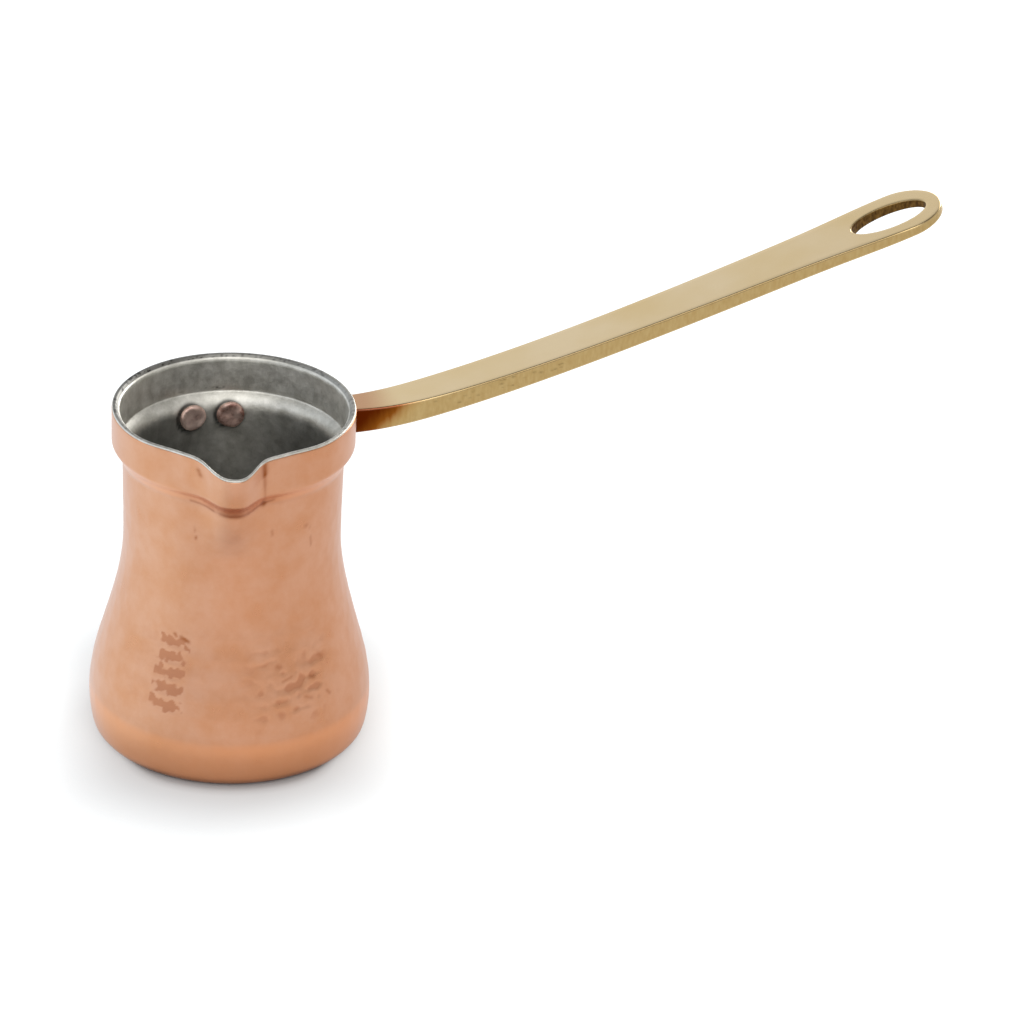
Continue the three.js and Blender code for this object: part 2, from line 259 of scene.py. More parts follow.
def respace(outline, spacing):
    """The same outline with points as far apart as spacing(height) says, its two ends kept."""
    lengths = np.hypot(*np.diff(outline, axis=0).T)
    middles = (outline[1:, 1] + outline[:-1, 1]) / 2
    steps = np.concatenate([[0.0], np.cumsum(lengths / spacing(middles))])
    wanted = np.linspace(0.0, steps[-1], int(round(steps[-1])) + 1)
    return np.stack([np.interp(wanted, steps, outline[:, k]) for k in (0, 1)], 1)


def outline_normals(outline):
    """Unit normals of an outline in the radius and height plane, on its right-hand side going up."""
    slope = np.gradient(outline, axis=0)
    slope /= np.linalg.norm(slope, axis=1, keepdims=True)
    return np.stack([slope[:, 1], -slope[:, 0]], 1)


def spout_share(azimuth):
    """How much of the spout's shape an azimuth has: 2^-(|azimuth| / half width)^sharpness.

    The spout was drawn out by hand and is steeper on its right."""
    half_width = np.where(azimuth < 0.0, SPOUT_HALF_WIDTH_LEFT, SPOUT_HALF_WIDTH_RIGHT)
    return np.exp(-math.log(2.0) * (np.abs(azimuth) / half_width) ** SPOUT_SHARPNESS)


def pinch_share(azimuth):
    """How much of the pinch beside the spout an azimuth has: a bell curve round the pinch's azimuth."""
    centre = np.where(azimuth < 0.0, PINCH_AZIMUTH_LEFT, PINCH_AZIMUTH_RIGHT)
    away = (np.abs(azimuth) - centre) / PINCH_WIDTH
    return np.exp(-away * away)


def pot_points(radius, height, azimuth):
    """The pot's points in space from radius, height and azimuth.

    The radius gains the spout's reach times its share and loses the pinch, and the height loses the dip."""
    risen = np.clip((height - THROAT_START) / THROAT_LENGTH, 0.0, 1.0)
    throat = (smooth(risen) + risen) / 2
    collar = smooth((height - NECK_TOP) / (POT_HEIGHT - NECK_TOP))
    reach = throat * SPOUT_REACH_AT_STEP + collar * (SPOUT_REACH - SPOUT_REACH_AT_STEP)
    dip = throat * SPOUT_DIP_AT_STEP + collar * (SPOUT_DIP - SPOUT_DIP_AT_STEP)
    share = spout_share(azimuth)
    drawn = radius + reach * share - collar * PINCH_DEPTH * pinch_share(azimuth)
    turn = np.radians(azimuth)
    return np.stack([drawn * np.sin(turn), -drawn * np.cos(turn), height - dip * share], -1)


def azimuths(count):
    """Azimuths once round from straight back, a little closer together at the spout."""
    even = np.linspace(-180.0, 180.0, count, endpoint=False)
    crowding = 9.0
    return even - crowding * np.sin(np.radians(even))


def on_cylinder(azimuth, height, radius):
    """Points in space on an upright cylinder, at which the noise on the pot's sides is read."""
    turn = np.radians(azimuth + 0.0 * height)
    return np.stack([radius * np.sin(turn), -radius * np.cos(turn), height + 0.0 * azimuth], -1)


def shell_piece(name, outline, offsets, columns, centres, attributes, **settings):
    """A closed shell: rings of pot points moved along the outline's normals, with a fan to each centre."""
    azimuth = azimuths(columns)[None, :]
    normals = outline_normals(outline)
    radius = outline[:, :1] + normals[:, :1] * offsets
    height = outline[:, 1:] + normals[:, 1:] * offsets
    rings = pot_points(radius, height, np.broadcast_to(azimuth, radius.shape))
    rows = len(outline)
    points = np.concatenate([rings.reshape(-1, 3), [(0, 0, centres[0]), (0, 0, centres[1])]])
    this = np.arange(columns)
    after = (this + 1) % columns
    first = np.full(columns, rows * columns)
    last = (rows - 1) * columns
    fans = [np.stack([first, after, this], 1), np.stack([first + 1, last + this, last + after], 1)]
    attributes = {
        label: np.concatenate([np.broadcast_to(values, offsets.shape).ravel(), [0.0, 0.0]])
        for label, values in attributes.items()
    }
    faces = [grid_faces(rows, columns), *fans]
    make_piece(name, points, faces, attributes=attributes, **settings)


def dish_depth(x, y):
    """Depth from 0 to 1 of a dished mark, with x and y from -1 to 1 across it: (1 - x^2) (1 - y^2)."""
    return np.clip(1.0 - x * x, 0.0, 1.0) * np.clip(1.0 - y * y, 0.0, 1.0)


def flats(azimuth, height, seed, width, tall, low, high):
    """Depth from 0 to 1 of broad flats in rows over a band: dished marks of seeded sizes, shifted by row."""
    draw = np.random.default_rng(seed)
    around = max(int(round(2 * math.pi * SHOULDER_RADIUS / width)), 3)
    rows = int(round((high - low) / tall))
    shift = draw.uniform(-0.5, 0.5, rows)
    size = draw.uniform(0.75, 1.0, (2, rows, around))
    v = (height - low) / (high - low) * rows + 0.0 * azimuth
    row = np.clip(np.floor(v).astype(int), 0, rows - 1)
    u = (azimuth / 360.0 + 0.5) * around + shift[row]
    column = np.floor(u).astype(int) % around
    x = (u - np.floor(u) - 0.5) * 2.0 / size[0, row, column]
    y = (v - row - 0.5) * 2.0 / size[1, row, column]
    return dish_depth(x, y)


def hammer_marks(azimuth, height, seed):
    """Rows of hammer marks in patches: places x, y from -1 to 1 in each, its plainness, a random pick."""
    draw = np.random.default_rng(seed)
    rows = int(round((MARKS_HIGH - MARKS_LOW) / MARK_TALL))
    v = (height - MARKS_LOW) / MARK_TALL + 0.0 * azimuth
    row = np.clip(np.floor(v).astype(int), 0, rows - 1)
    x, y = np.full(v.shape, 2.0), (v - row - 0.5) * 2.0
    plain, pick = np.zeros(v.shape), np.zeros(v.shape)
    for start, end, columns, share in MARK_PATCHES:
        sway = draw.uniform(-0.6, 0.6, rows)
        picks = draw.uniform(size=(rows, columns))
        u = (azimuth - start + sway[row]) % 360.0 / (end - start) * columns
        column = np.minimum(u.astype(int), columns - 1)
        here = u < columns
        x = np.where(here, (u - column - 0.5) * 2.0, x)
        plain = np.where(here, share, plain)
        pick = np.where(here, picks[row, column], pick)
    return x, y, plain, pick


def stroke(azimuth, height, start, end, width):
    """A scratch between two (azimuth, height) places: exp(-(distance / width)^2) on the unrolled neck."""
    per_degree = math.radians(1.0) * NECK_RADIUS
    across, up = (end[0] - start[0]) * per_degree, end[1] - start[1]
    x, y = (azimuth - start[0]) * per_degree, height - start[1]
    share = np.clip((x * across + y * up) / (across * across + up * up), 0.0, 1.0)
    distance = np.hypot(x - share * across, y - share * up)
    return np.exp(-((distance / width) ** 2))


# Helpers for materials
def linear(hex_colour):
    """A hex sRGB colour as linear red, green, blue and full alpha."""
    channels = [int(hex_colour[i : i + 2], 16) / 255.0 for i in (1, 3, 5)]
    return [c / 12.92 if c <= 0.04045 else ((c + 0.055) / 1.055) ** 2.4 for c in channels] + [1.0]


def grey(value):
    """An even linear grey with full alpha."""
    return [value, value, value, 1.0]


def per_mm(*sizes):
    """How many patterns of a size in millimetres fit in a metre, for one size or for each of three axes."""
    counts = [1.0 / (size * MM) for size in sizes]
    return counts if len(counts) > 1 else counts[0]


def add_node(tree, kind, settings=None, links=None):
    """Adds a node, sets its properties, input values and colour stops, and links its inputs to sources.

    A source is a socket, or a node, which stands for its first output in use."""
    node = tree.nodes.new("ShaderNode" + kind)
    for key, value in (settings or {}).items():
        if key == "stops":
            elements = node.color_ramp.elements
            while len(elements) < len(value):
                elements.new(1.0)
            for element, (position, colour) in zip(elements, value):
                element.position = position
                element.color = linear(colour) if isinstance(colour, str) else colour
        elif isinstance(key, str) and hasattr(node, key):
            setattr(node, key, value)
        else:
            node.inputs[key].default_value = value
    for key, source in (links or {}).items():
        if isinstance(source, bpy.types.Node):
            source = next(socket for socket in source.outputs if socket.enabled)
        tree.links.new(source, node.inputs[key])
    return node


def new_material(name):
    """An empty node material, and add_node for its tree."""
    material = bpy.data.materials.new(name)
    material.use_nodes = True
    material.node_tree.nodes.clear()
    return material, partial(add_node, material.node_tree)


# Spun copper, planished with a hammer and polished by hand: a satin pink metal, a little uneven in tone,
# redder and duller in its hammer marks, brown in its creases, and lighter and warmer under the collar and
# near the base as a painted reflection.
# Its turning lines are drawn 0.5 mm apart, coarser than real ones, so that they show
def spun_copper():
    material, add = new_material("spun_copper")
    place = add("TexCoord").outputs["Object"]
    cloud = add("TexNoise", {"Scale": per_mm(8), "Detail": 5.0, "Roughness": 0.6}, {"Vector": place})
    colour = add("ValToRGB", {"stops": [(0.36, "#c78d69"), (0.64, "#cd9879")]}, {"Fac": cloud})
    # Colours laid over the tone: dull hammer marks, a painted warm reflection, and brown oxide
    for overlay, tint in (("dull", "#b57a5a"), ("warm", "#e09a6c"), ("oxide", "#8a4516")):
        share = add("Attribute", {"attribute_name": overlay}).outputs["Fac"]
        colour = add("Mix", {"data_type": "RGBA", 7: linear(tint)}, {0: share, 6: colour})

    gloss = add("ValToRGB", {"stops": [(0.3, grey(0.27)), (0.7, grey(0.33))]}, {"Fac": cloud})
    turning_place = add("Mapping", {"Scale": per_mm(40, 40, 0.5)}, {"Vector": place})
    turning = add("TexNoise", {"Scale": 1.0, "Detail": 2.0}, {"Vector": turning_place})
    lines = add("Bump", {"Strength": 0.12, "Distance": 0.05 * MM}, {"Height": turning})
    grain = add("TexNoise", {"Scale": per_mm(1.4), "Detail": 3.0}, {"Vector": place})
    bump = add("Bump", {"Strength": 0.25, "Distance": 0.08 * MM}, {"Height": grain, "Normal": lines})
    inputs = {"Base Color": colour, "Roughness": gloss, "Normal": bump}
    shader = add("BsdfPrincipled", {"Metallic": 1.0}, inputs)
    add("OutputMaterial", links={"Surface": shader})
    return material


# Tin wiped on by hand over heat: a dull warm grey, mottled, with soft upright streaks and sooty specks, and
# darkened by painted shade deep inside, under the ledge, round the rivets' heads and on the rim's left and
# back
def wiped_tin():
    material, add = new_material("wiped_tin")
    place = add("TexCoord").outputs["Object"]
    cloud = add("TexNoise", {"Scale": per_mm(3), "Detail": 6.0, "Roughness": 0.65}, {"Vector": place})
    streak_place = add("Mapping", {"Scale": per_mm(3.5, 3.5, 9)}, {"Vector": place})
    streak = add("TexNoise", {"Scale": 1.0, "Detail": 4.0}, {"Vector": streak_place})
    both = add("Mix", {"data_type": "FLOAT", 0: 0.25}, {2: cloud, 3: streak})
    tone = add("ValToRGB", {"stops": [(0.36, "#bcb9af"), (0.64, "#e0ddd4")]}, {"Fac": both})
    # Soot, and painted shade in the same dark colour
    soot = add("Attribute", {"attribute_name": "soot"}).outputs["Fac"]
    colour = add("Mix", {"data_type": "RGBA", 7: linear("#2c2a27")}, {0: soot, 6: tone})

    gloss = add("ValToRGB", {"stops": [(0.35, grey(0.38)), (0.65, grey(0.48))]}, {"Fac": both})
    bump = add("Bump", {"Strength": 0.5, "Distance": 0.3 * MM}, {"Height": both})
    inputs = {"Base Color": colour, "Roughness": gloss, "Normal": bump}
    shader = add("BsdfPrincipled", {"Metallic": 0.75}, inputs)
    add("OutputMaterial", links={"Surface": shader})
    return material


# Cast brass, polished on its flats: pale gold and smooth on top, deeper and scratched on its ground sides,
# with a brown cast skin inside the eye, small dark pits and a painted dark shade along its upper edge, and
# at the root a painted reflection of the copper pot, brown on the sides and pink on top.
# Its grinding marks are drawn 0.8 by 2.4 mm, coarser than real ones, so that they show
def cast_brass():
    material, add = new_material("cast_brass")
    place = add("TexCoord").outputs["Object"]
    polish, skin, painted_reflection_share, pit = (
        add("Attribute", {"attribute_name": label}).outputs["Fac"]
        for label in ("polish", "cast_skin", "heat_tint", "pit")
    )
    cloud = add("TexNoise", {"Scale": per_mm(24), "Detail": 3.0}, {"Vector": place})
    grind_place = add("Mapping", {"Scale": per_mm(0.8, 0.8, 2.4)}, {"Vector": place})
    grind = add("TexNoise", {"Scale": 1.0, "Detail": 4.0}, {"Vector": grind_place})
    top = add("ValToRGB", {"stops": [(0.3, "#e0c592"), (0.7, "#e7d0a7")]}, {"Fac": cloud})
    side = add("ValToRGB", {"stops": [(0.3, "#b19460"), (0.7, "#bda370")]}, {"Fac": grind})
    brass = add("Mix", {"data_type": "RGBA"}, {0: polish, 6: side, 7: top})
    rough_skin = add("ValToRGB", {"stops": [(0.35, "#50381b"), (0.7, "#846433")]}, {"Fac": grind})
    skinned = add("Mix", {"data_type": "RGBA"}, {0: skin, 6: brass, 7: rough_skin})
    # The painted reflection of the copper pot at the root: brown on the sides, pink on top
    side_reflection = add(
        "ValToRGB",
        {"stops": [(0.15, "#b38a4c"), (0.5, "#8f5418"), (1.0, "#551d02")]},
        {"Fac": painted_reflection_share},
    )
    tint = add("Mix", {"data_type": "RGBA", 7: linear("#b57556")}, {0: polish, 6: side_reflection})
    reflection_strength = add("Math", {"operation": "MULTIPLY", "use_clamp": True, 1: 1.6}, {0: painted_reflection_share})
    with_reflection = add("Mix", {"data_type": "RGBA"}, {0: reflection_strength, 6: skinned, 7: tint})
    # Dark casting pits, and the painted shade along the upper edge
    colour = add("Mix", {"data_type": "RGBA", 7: linear("#5a4420")}, {0: pit, 6: with_reflection})

    polished_gloss = add("Mix", {"data_type": "FLOAT", 2: 0.3, 3: 0.17}, {0: polish})
    gloss = add("Mix", {"data_type": "FLOAT", 3: 0.55}, {0: skin, 2: polished_gloss})
    smoothed = add("Mix", {"data_type": "FLOAT", 3: 0.5}, {0: polish, 2: grind})
    bump = add("Bump", {"Strength": 0.35, "Distance": 0.1 * MM}, {"Height": smoothed})
    inputs = {"Base Color": colour, "Roughness": gloss, "Normal": bump}
    shader = add("BsdfPrincipled", {"Metallic": 1.0}, inputs)
    add("OutputMaterial", links={"Surface": shader})
    return material


# Rivet copper, hammered flat and darkened by heat: a grey brown, pink where it is rubbed bright, and light
# over most of the left rivet's head, partly rubbed and partly a painted highlight
def hammered_rivet_copper():
    material, add = new_material("hammered_rivet_copper")
    place = add("TexCoord").outputs["Object"]
    cloud = add("TexNoise", {"Scale": per_mm(1.8), "Detail": 5.0, "Roughness": 0.6}, {"Vector": place})
    tone = add("ValToRGB", {"stops": [(0.4, "#906b5f"), (0.6, "#d2afa2")]}, {"Fac": cloud})
    rubbed = add("Attribute", {"attribute_name": "rubbed"}).outputs["Fac"]
    colour = add("Mix", {"data_type": "RGBA", 7: linear("#f6d9cb")}, {0: rubbed, 6: tone})

    gloss = add("ValToRGB", {"stops": [(0.3, grey(0.55)), (0.7, grey(0.38))]}, {"Fac": cloud})
    bump = add("Bump", {"Strength": 0.4, "Distance": 0.2 * MM}, {"Height": cloud})
    inputs = {"Base Color": colour, "Roughness": gloss, "Normal": bump}
    shader = add("BsdfPrincipled", {"Metallic": 0.75}, inputs)
    add("OutputMaterial", links={"Surface": shader})
    return material


# Copper body
BODY_COLUMNS = 480
MARKS_LOW, MARKS_HIGH = 19.6, 40.1
MARK_TALL = 4.1
MARK_DEPTH = 0.1
FLAT_WIDTH, FLAT_TALL = 5.6, 5.2
FLAT_DEPTH = 0.055
FLATS_LOW, FLATS_HIGH = 4.0, 76.0
UNEVEN_DEPTH = 0.05
# A patch on the right of the belly that the hammer's edge pecked
PECKED_AZIMUTH, PECKED_HALF_WIDTH = 28.0, 19.0
PECKED_LEVEL, PECKED_HALF_HEIGHT = 27.0, 11.0
PECK_DEPTH = 0.2
SCRATCH_DEPTH = 0.06
# Where the hammer went round the belly: first and last azimuth, columns of marks, and how plain they are
MARK_PATCHES = [
    (-50.0, -37.0, 1, 0.12),
    (-37.0, -20.5, 1, 1.0),
    (95.0, 140.0, 4, 0.7),
    (150.0, 205.0, 4, 0.6),
    (215.0, 260.0, 4, 0.7),
]
# Dints and brown scratches, and creases beside the spout that no wheel reaches: start and end as azimuth
# and height, width in mm, and strength
SCRATCHES = [
    ((21.2, 32.4), (22.0, 32.2), 0.7, 0.4),
    ((43.4, 32.5), (45.0, 31.7), 0.7, 0.35),
    ((37.2, 27.8), (38.6, 27.3), 0.6, 0.35),
    ((23.0, 28.4), (27.5, 29.2), 0.35, 0.3),
    ((44.6, 22.6), (46.0, 21.6), 0.4, 0.4),
    ((33.0, 23.2), (36.0, 22.4), 0.45, 0.3),
    ((-25.4, 39.5), (-21.4, 38.7), 0.5, 0.6),
    ((-28.9, 40.0), (-28.5, 40.0), 0.4, 0.6),
    ((-20.6, 70.3), (-20.3, 70.0), 0.32, 0.65),
    ((-19.8, 67.8), (-19.5, 67.4), 0.36, 0.65),
    ((38.5, 69.2), (43.0, 68.0), 0.35, 0.35),
    ((43.6, 65.0), (44.4, 62.5), 0.35, 0.35),
    ((19.6, 70.0), (20.0, 68.4), 0.4, 0.3),
    ((13.0, 90.8), (13.3, 88.4), 0.8, 0.85),
    ((13.3, 88.2), (13.6, 84.6), 0.5, 0.45),
    ((13.6, 84.4), (13.9, 80.4), 0.35, 0.3),
    ((13.8, 79.4), (14.4, 78.2), 0.7, 0.75),
    ((-16.8, 89.0), (-15.6, 87.8), 0.6, 0.6),
    ((9.0, 78.2), (19.0, 79.2), 0.5, 0.5),
    ((-6.0, 78.0), (6.0, 78.0), 0.75, 0.5),
    ((-22.0, 78.4), (-10.0, 78.0), 0.4, 0.5),
]


def body_spacing(height):
    """Rows of the body's outside: closest over the hammer marks, close at the collar's step."""
    marked = (height > MARKS_LOW - 0.6) & (height < MARKS_HIGH + 1.6)
    stepped = (height > NECK_TOP - 1.5) & (height < COLLAR_FOOT + 1.0)
    return np.where(marked, 0.33, np.where(stepped, 0.45, 1.0))


def inner_spacing(height):
    """Rows of a hidden face: close only at the collar's step."""
    stepped = (height > NECK_TOP - 3.5) & (height < COLLAR_FOOT + 1.0)
    return np.where(stepped, 0.4, 4.0)


def copper_body(material):
    """The spun and planished shell: its outline, less broad flats, hammer marks, pecks and scratches."""
    outside = respace(side_outline(0.0, COPPER_TOP - RIM_EDGE), body_spacing)
    inside = respace(side_outline(WALL, COPPER_TOP - RIM_BEVEL), inner_spacing)
    edge = arc((RIM_RADIUS - RIM_EDGE, COPPER_TOP - RIM_EDGE), RIM_EDGE, 0.0, math.pi / 2, 4)[1:]
    bevel_start = np.array([[RIM_RADIUS - WALL + RIM_BEVEL, COPPER_TOP]])
    outline = np.concatenate([outside, edge, bevel_start, inside[::-1]])
    azimuth = azimuths(BODY_COLUMNS)[None, :]
    height = outline[:, 1:]
    is_outside = (np.arange(len(outline)) < len(outside))[:, None]
    plain = smooth((height - 4.0) / 6.0) * smooth((COLLAR_FOOT - 6.0 - height) / 8.0)

    broad = flats(azimuth, height, 5, FLAT_WIDTH, FLAT_TALL, FLATS_LOW, FLATS_HIGH) * FLAT_DEPTH
    x, y, share, pick = hammer_marks(azimuth, height, 11)
    in_band = (height > MARKS_LOW) & (height < MARKS_HIGH)
    space = on_cylinder(azimuth, height, 30.0)
    # What the polishing missed in a hammer mark stays dull, in a block with ragged edges, and so do pecks
    ragged = 0.26 * waves(space, 1.8, 41) + 0.2 * waves(space, 4.0, 42)
    missed = smooth((0.66 - np.abs(y - 0.05) + ragged) / 0.2)
    missed = missed * smooth((0.95 - np.abs(x) + 0.6 * ragged) / 0.2)
    dull = missed * np.clip(1.9 * pick + 0.1, 0.25, 1.0) * share * in_band
    pecked_across = (azimuth - PECKED_AZIMUTH) / PECKED_HALF_WIDTH
    pecked_up = (height - PECKED_LEVEL) / PECKED_HALF_HEIGHT
    pecked = np.exp(-(pecked_across**4) - pecked_up**4)
    pecks = waves(space * [1, 1, 1.4], 5.6, 51) + 0.5 * waves(space, 2.6, 52)
    dull = dull + 0.8 * pecked * smooth((pecks - 0.4) / 0.8)
    scratched = sum(
        strength * stroke(azimuth, height, start, end, width)
        for start, end, width, strength in SCRATCHES
    )
    uneven = UNEVEN_DEPTH * waves(space, 26.0, 3) * plain
    marks = MARK_DEPTH * dish_depth(x, y) * in_band * (0.3 + 0.7 * share)
    pecked_depth = PECK_DEPTH * pecked * smooth((pecks + 0.2) / 1.4)
    dents = broad * plain + marks + pecked_depth + SCRATCH_DEPTH * scratched
    offsets = (uneven - dents) * is_outside
    # Painted reflection: the copper made lighter under the collar's step, away from the spout, and warmer
    # near the base
    under_collar = np.exp(-(((height - (NECK_TOP + COLLAR_FOOT) / 2) / (STEP_HEIGHT / 2)) ** 4))
    near_base = smooth((14.0 - height) / 2.5) * smooth(height / 3.0)
    warm = 0.6 * (under_collar * (1.0 - spout_share(azimuth)) + near_base) * is_outside
    dull = np.clip(dull, 0, 1) * is_outside
    oxide = np.clip(scratched, 0, 1) * is_outside
    shell_piece(
        "copper_body",
        outline,
        offsets,
        BODY_COLUMNS,
        (0.0, WALL),
        {"dull": dull, "warm": warm, "oxide": oxide},
        slot="copper",
        node="pot_body",
        material=material,
    )


# Tin coat
TIN_COLUMNS = 360
LUMP_HEIGHT = 0.06


def tin_spacing(height):
    """Rows of the tin's face: close on the ledge and at the rim."""
    ledge = (height > NECK_TOP - 3.5) & (height < COLLAR_FOOT + 1.5)
    return np.where(ledge, 0.25, 0.95)


def tin_coat(material):
    """The wiped tin over the inside and the rim: two outlines a thickness apart, the face in soft lumps."""
    contact = WALL + TIN_GAP
    face = contact + TIN_THICKNESS
    mouth = RIM_RADIUS - face
    slant = TIN_GAP * math.tan(math.pi / 8)
    back = respace(side_outline(contact, COPPER_TOP - RIM_BEVEL + slant), inner_spacing)
    bevelled = mouth + RIM_BEVEL + TIN_THICKNESS
    # Over the rim: a round of this radius at the outer edge, set in a little, the flat top, and the bevel
    rolled, roll_inset = 0.36, 0.1
    roll_centre = RIM_RADIUS - roll_inset - rolled
    to_bevel = np.linspace(0.25, 0.9, 5)[:, None]
    bevel = (bevelled, POT_HEIGHT) - to_bevel * (bevelled - mouth)
    over_edge = arc((roll_centre, POT_HEIGHT - rolled), rolled, math.radians(-14.0), math.pi / 2, 7)
    over = np.concatenate(
        [
            [(RIM_RADIUS - WALL + RIM_BEVEL - slant, POT_HEIGHT - TIN_THICKNESS)],
            [(RIM_RADIUS - RIM_EDGE, POT_HEIGHT - TIN_THICKNESS)],
            over_edge,
            [(bevelled + 0.1, POT_HEIGHT), (bevelled - 0.05, POT_HEIGHT - 0.03)],
            bevel,
        ]
    )
    bevel_foot = POT_HEIGHT - (bevelled - mouth)
    front = respace(side_outline(face, bevel_foot), tin_spacing)
    outline = np.concatenate([back, over, front[::-1]])
    azimuth = azimuths(TIN_COLUMNS)[None, :]
    height = outline[:, 1:]
    turn = np.radians(azimuth + 0.0 * height)
    space = on_cylinder(azimuth, height, 26.0)
    is_face = (np.arange(len(outline)) >= len(back) + len(over))[:, None]
    lumps = 0.05 * waves(space * [1, 1, 0.6], 9.0, 21) + 0.03 * waves(space, 4.5, 22)
    quiet = smooth((bevel_foot - height) / 2.0) * smooth((height - 4.0) / 3.0)
    offsets = np.clip(lumps, -LUMP_HEIGHT, LUMP_HEIGHT) * is_face * quiet

    # Soot and painted shade: a specked line of soot above the ledge at the back left, a darker rim with
    # painted shade on its left and back, painted shade on the deep part and on the sides under the ledge,
    # and a painted shadow round the rivets' heads, set a little low
    back_left = np.exp(-(((azimuth + 165.0) / 13.0) ** 4))
    line = np.exp(-(((height - COLLAR_FOOT - 0.5 - 0.25 * waves(space, 8.0, 23)) / 0.35) ** 2))
    specks = smooth((waves(space, 1.6, 24) - 0.2) / 0.6)
    soot = 0.85 * line * back_left * specks * is_face
    on_rim = (height > POT_HEIGHT - 1.0) & (outline[:, :1] > mouth + 0.35)
    outermost = outline[:, :1] > RIM_RADIUS - 0.3
    rim_specks = smooth((waves(space, 1.0, 25) - 0.5) / 0.6)
    at_side = np.abs(np.sin(turn))
    at_left = np.clip(-np.sin(turn), 0.0, 1.0)
    at_back = (1.0 - np.cos(turn)) / 2
    # The rim darker, and more so on its left and back as painted shade
    rim_dark_and_painted_shade = (0.62 + 0.36 * at_left) * (0.4 + 0.6 * at_back)
    # Painted shade deep inside, at the sides and under the ledge, and a painted shadow round each rivet's
    # head
    painted_deep_shade = 0.1 * smooth((77.5 - height) / 6.0) + 0.1 * at_side
    painted_ledge_shade = 0.6 * at_side * smooth((80.0 - height) / 3.2)
    painted_rivet_shadow = np.zeros(lumps.shape)
    for rivet_azimuth in RIVET_AZIMUTHS.values():
        away = (azimuth + rivet_azimuth) % 360.0 - 180.0
        beside = np.radians(away) * (RIM_RADIUS - COLLAR_STEP - face) - 0.5
        distance = np.hypot(beside, height - RIVET_LEVEL + 0.45)
        painted_rivet_shadow += 0.85 * np.exp(-(((distance - HEAD_RADIUS + 0.1) / 0.55) ** 2))
    soot += np.clip(painted_deep_shade + painted_ledge_shade + painted_rivet_shadow, 0.0, 0.9) * is_face
    soot += (rim_dark_and_painted_shade + 0.22 * rim_specks) * on_rim * (1 - outermost)
    shell_piece(
        "tin_coat",
        outline,
        offsets,
        TIN_COLUMNS,
        (contact, face),
        {"soot": soot},
        slot="tin",
        node="tin_lining",
        material=material,
    )


# Brass handle
SHEET_ROWS, EDGE_ROWS, WALL_ROWS = 6, 6, 12
# How far the painted reflection of the copper pot reaches along the root, on the sides and on top
REFLECTION_REACH, REFLECTION_FADE = 39.0, 16.0
TOP_REFLECTION_REACH, TOP_REFLECTION_FADE, TOP_REFLECTION = 38.0, 11.0, 0.4
PIT_COUNT = 26
PIT_DEPTH = 0.12
PIT_RADII = (0.12, 0.28)
PITS_FROM, PITS_TO = (44.0, -0.8), (82.0, 1.9)
# Where the painted shade, a dark line along the upper edge, starts and ends, and over what length it comes
# and goes
LINE_START, LINE_COMES = 38.0, 25.0
LINE_END, LINE_GOES = 182.0, 10.0
EYE_ROUGHNESS = 0.07


def spine_directions(distance):
    """Unit vectors along, across and up from the handle's spine: heading and rise as S curve and decay."""
    leaving = math.radians(LEAVING_AZIMUTH)
    on_foot = distance < 0
    sweep = smooth(distance / SWEEP_LENGTH) * (math.radians(SWEEP_ANGLE) + leaving) - leaving
    heading = np.where(on_foot, -leaving - distance / FOOT_RADIUS, sweep)
    bend = 1.0 - np.exp(-np.maximum(distance, 0.0) / RISE_LENGTH)
    rise = math.radians(RISE_ANGLE) * bend
    along = np.stack([np.cos(heading) * np.cos(rise), np.sin(heading) * np.cos(rise), np.sin(rise)], -1)
    across = np.stack([-np.sin(heading), np.cos(heading), np.zeros_like(heading)], -1)
    return along, across, np.cross(along, across)


def spine_positions(distance):
    """Points of the spine: an arc round the neck on the foot, then the summed directions of the bar."""
    step = 0.5
    walked = np.arange(0.0, BAR_LENGTH + 2 * step, step)
    along = spine_directions(walked + step / 2)[0]
    leaving = math.radians(LEAVING_AZIMUTH)
    start = np.array([FOOT_RADIUS * math.sin(leaving), FOOT_RADIUS * math.cos(leaving), FOOT_LEVEL])
    places = start + np.concatenate([np.zeros((1, 3)), np.cumsum(along[:-1] * step, 0)])
    bar = np.stack([np.interp(distance, walked, places[:, k]) for k in range(3)], -1)
    turn = leaving + distance / FOOT_RADIUS
    foot = np.stack(
        [FOOT_RADIUS * np.sin(turn), FOOT_RADIUS * np.cos(turn), np.full_like(turn, FOOT_LEVEL)], -1
    )
    return np.where((distance < 0)[..., None], foot, bar)


def handle_space(flat, level):
    """Points in space from places seen flat, as distance along and across, and levels above the spine."""
    across, upward = spine_directions(flat[..., 0])[1:]
    return spine_positions(flat[..., 0]) + across * flat[..., 1:] + upward * level[..., None]


def rounded_end(from_end, length):
    """A quarter ellipse's height: 0 at the end and 1 from the given length inwards."""
    inward = 1.0 - np.clip(from_end / length, 0.0, 1.0)
    return np.sqrt(np.maximum(1.0 - inward * inward, 0.0))


def handle_width(distance):
    """Width along the handle: the foot's, a gain of 1 - exp(-x^sharpness), a squared one for the paddle and
    a bell curve at the eye, times a quarter ellipse at the tip."""
    along = np.maximum(distance, 0.0)
    spread = BAR_GAIN * (1.0 - np.exp(-((along / BAR_GAIN_LENGTH) ** BAR_GAIN_SHARPNESS)))
    paddle = PADDLE_GAIN * (along / PADDLE_MEASURE) ** 2
    eye = EYE_SWELL * np.exp(-(((along - EYE_CENTRE) / EYE_SWELL_LENGTH) ** 2))
    return (FOOT_THICKNESS + spread + paddle + eye) * rounded_end(BAR_LENGTH - distance, TIP_LENGTH)


